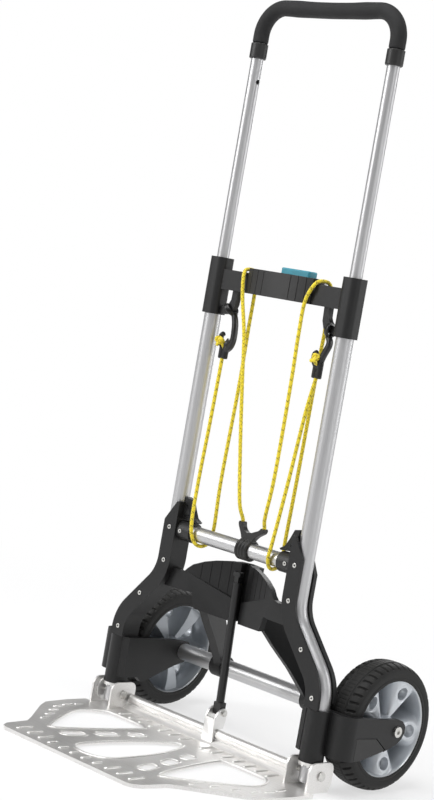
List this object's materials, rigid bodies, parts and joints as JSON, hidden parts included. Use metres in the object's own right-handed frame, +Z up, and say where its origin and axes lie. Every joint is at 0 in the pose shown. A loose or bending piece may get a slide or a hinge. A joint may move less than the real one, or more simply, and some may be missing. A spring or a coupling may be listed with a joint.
{
  "type": "stair climbing trolley",
  "caption": "Folding hand truck with a telescoping handle, fold-up toe plate, stair skids behind the legs, rubber-tyred wheels and elastic load cords.",
  "frame": {"origin": "on the floor at the bottom centre of the bounding box, midway between the two upright tubes and 32.5 mm in front of the plane of their centrelines", "axes": "+Z up, -Y to the front where the toe plate lies, +X to the right-hand wheel when facing the same way as +Y"},
  "size_m": [0.508, 0.461, 1.0615],
  "materials": {
    "tube_aluminium": "brushed, satin anodised",
    "plate_aluminium": "pressed sheet, satin",
    "black_plastic": "fine moulded texture, satin",
    "skid_plastic": "smooth, slightly glossy",
    "grip_foam": "closed cell foam",
    "nylon": "natural nylon",
    "button_plastic": "teal, satin",
    "steel": "zinc plated",
    "bracket_metal": "bright zinc plated",
    "strut_paint": "black, satin",
    "rim_plastic": "blue grey, satin",
    "tyre": "solid rubber",
    "cord": "woven elastic cord, yellow with dark flecks"
  },
  "bodies": {
    "frame": {"lower_tube_right": "tube_aluminium", "lower_tube_left": "tube_aluminium", "crossbar_housing": "black_plastic", "crossbar_front_cover": "black_plastic", "cover_screws": "steel", "guide_bushes": "nylon", "button_springs": "steel", "lock_springs": "steel", "side_cover_right": "black_plastic", "side_cover_left": "black_plastic", "skid_right": "skid_plastic", "skid_left": "skid_plastic", "cover_rivets": "steel", "cross_tube": "tube_aluminium", "cross_tube_sockets": "black_plastic", "socket_screws": "steel", "cord_clip": "black_plastic", "arch_panel": "black_plastic", "arch_legs": "black_plastic", "axle_tube": "tube_aluminium", "wheel_arm_right": "black_plastic", "wheel_arm_left": "black_plastic", "arm_cover_right": "black_plastic", "arm_cover_left": "black_plastic", "toothed_rings": "bracket_metal", "axle_bolts": "steel", "axle_washers": "steel", "hinge_pins": "steel", "cord_hook_left": "black_plastic", "cord_hook_right": "black_plastic", "cord_left": "cord", "cord_right": "cord"},
    "handle": {"handle_tube": "tube_aluminium", "handle_grip": "grip_foam", "grip_collars": "black_plastic", "handle_glides": "nylon"},
    "button": {"release_button": "button_plastic"},
    "lock_left": {"lock_pin_left": "steel"},
    "lock_right": {"lock_pin_right": "steel"},
    "wheel_left": {"wheel_rim_left": "rim_plastic", "wheel_bushes_left": "nylon", "tyre_left": "tyre"},
    "wheel_right": {"wheel_rim_right": "rim_plastic", "wheel_bushes_right": "nylon", "tyre_right": "tyre"},
    "plate": {"toe_plate": "plate_aluminium", "rear_rail": "plate_aluminium", "toothed_sectors": "bracket_metal", "plate_clevis": "bracket_metal", "clevis_pin": "steel"},
    "strut": {"strut_rod": "strut_paint", "strut_foot": "black_plastic"}
  },
  "joints": [
    {"name": "handle_slide", "type": "slide", "parent": "frame", "child": "handle", "axis": [0, 0, 1], "range_m": [-0.28, 0]},
    {"name": "button_press", "type": "slide", "parent": "frame", "child": "button", "axis": [0, 0, -1], "range_m": [0, 0.005]},
    {"name": "lock_left_retract", "type": "slide", "parent": "frame", "child": "lock_left", "axis": [1, 0, 0], "range_m": [0, 0.005]},
    {"name": "lock_right_retract", "type": "slide", "parent": "frame", "child": "lock_right", "axis": [-1, 0, 0], "range_m": [0, 0.005]},
    {"name": "wheel_left_spin", "type": "hinge", "parent": "frame", "child": "wheel_left", "pos_m": [-0.214, 0.1405, 0.09], "axis": [1, 0, 0], "continuous": true},
    {"name": "wheel_right_spin", "type": "hinge", "parent": "frame", "child": "wheel_right", "pos_m": [0.214, 0.1405, 0.09], "axis": [1, 0, 0], "continuous": true},
    {"name": "toe_plate_fold", "type": "hinge", "parent": "frame", "child": "plate", "pos_m": [0, 0.0325, 0.025], "axis": [-1, 0, 0], "range_deg": [0, 90]},
    {"name": "strut_swing", "type": "hinge", "parent": "plate", "child": "strut", "pos_m": [0, 0.0525, 0.05], "axis": [1, 0, 0], "range_deg": [0, 91.5]}
  ],
  "couplings": [
    {"joint": "lock_left_retract", "follows": "button_press", "ratio": 1},
    {"joint": "lock_right_retract", "follows": "button_press", "ratio": 1},
    {"joint": "strut_swing", "follows": "toe_plate_fold", "ratio": 1.0156}
  ]
}
